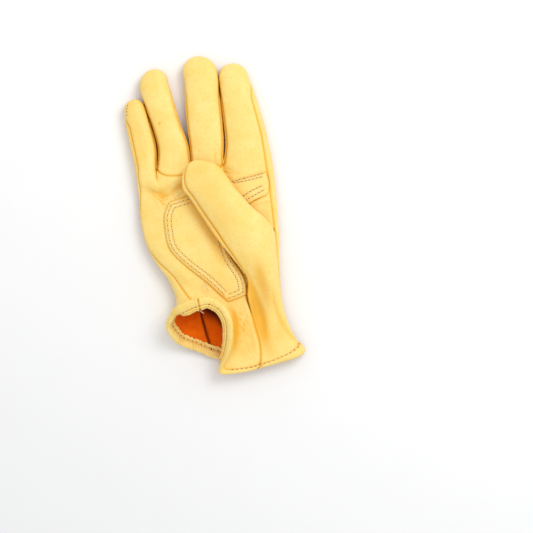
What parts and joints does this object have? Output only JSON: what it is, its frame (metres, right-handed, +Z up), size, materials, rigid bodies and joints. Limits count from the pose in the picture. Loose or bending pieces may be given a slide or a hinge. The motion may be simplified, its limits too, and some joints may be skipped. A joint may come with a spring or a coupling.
{
  "type": "leather gardening glove",
  "caption": "Right-hand leather work glove lying palm up, thumb folded across the palm, cuff standing open.",
  "frame": {"origin": "on the surface that the glove lies on, under the middle of the palm", "axes": "+Y along the glove to the fingertips, +X to the thumb's side, +Z up, out of the palm"},
  "size_m": [0.108, 0.2463, 0.0435],
  "materials": {
    "grain_leather": "soft full grain, matte",
    "patch_leather": "soft full grain, matte",
    "hem_leather": "soft full grain, matte",
    "suede_lining": "napped flesh side",
    "thread": "polyester thread"
  },
  "bodies": {
    "root": {"back": "grain_leather", "palm": "grain_leather", "finger_insert": "grain_leather", "fourchette_little_ring": "grain_leather", "fourchette_ring_middle": "grain_leather", "fourchette_middle_index": "grain_leather", "thumb_back": "grain_leather", "thumb_front": "grain_leather", "palm_patch": "patch_leather", "hem_palm": "hem_leather", "hem_thumb_side": "hem_leather", "hem_back": "hem_leather"}
  },
  "joints": []
}
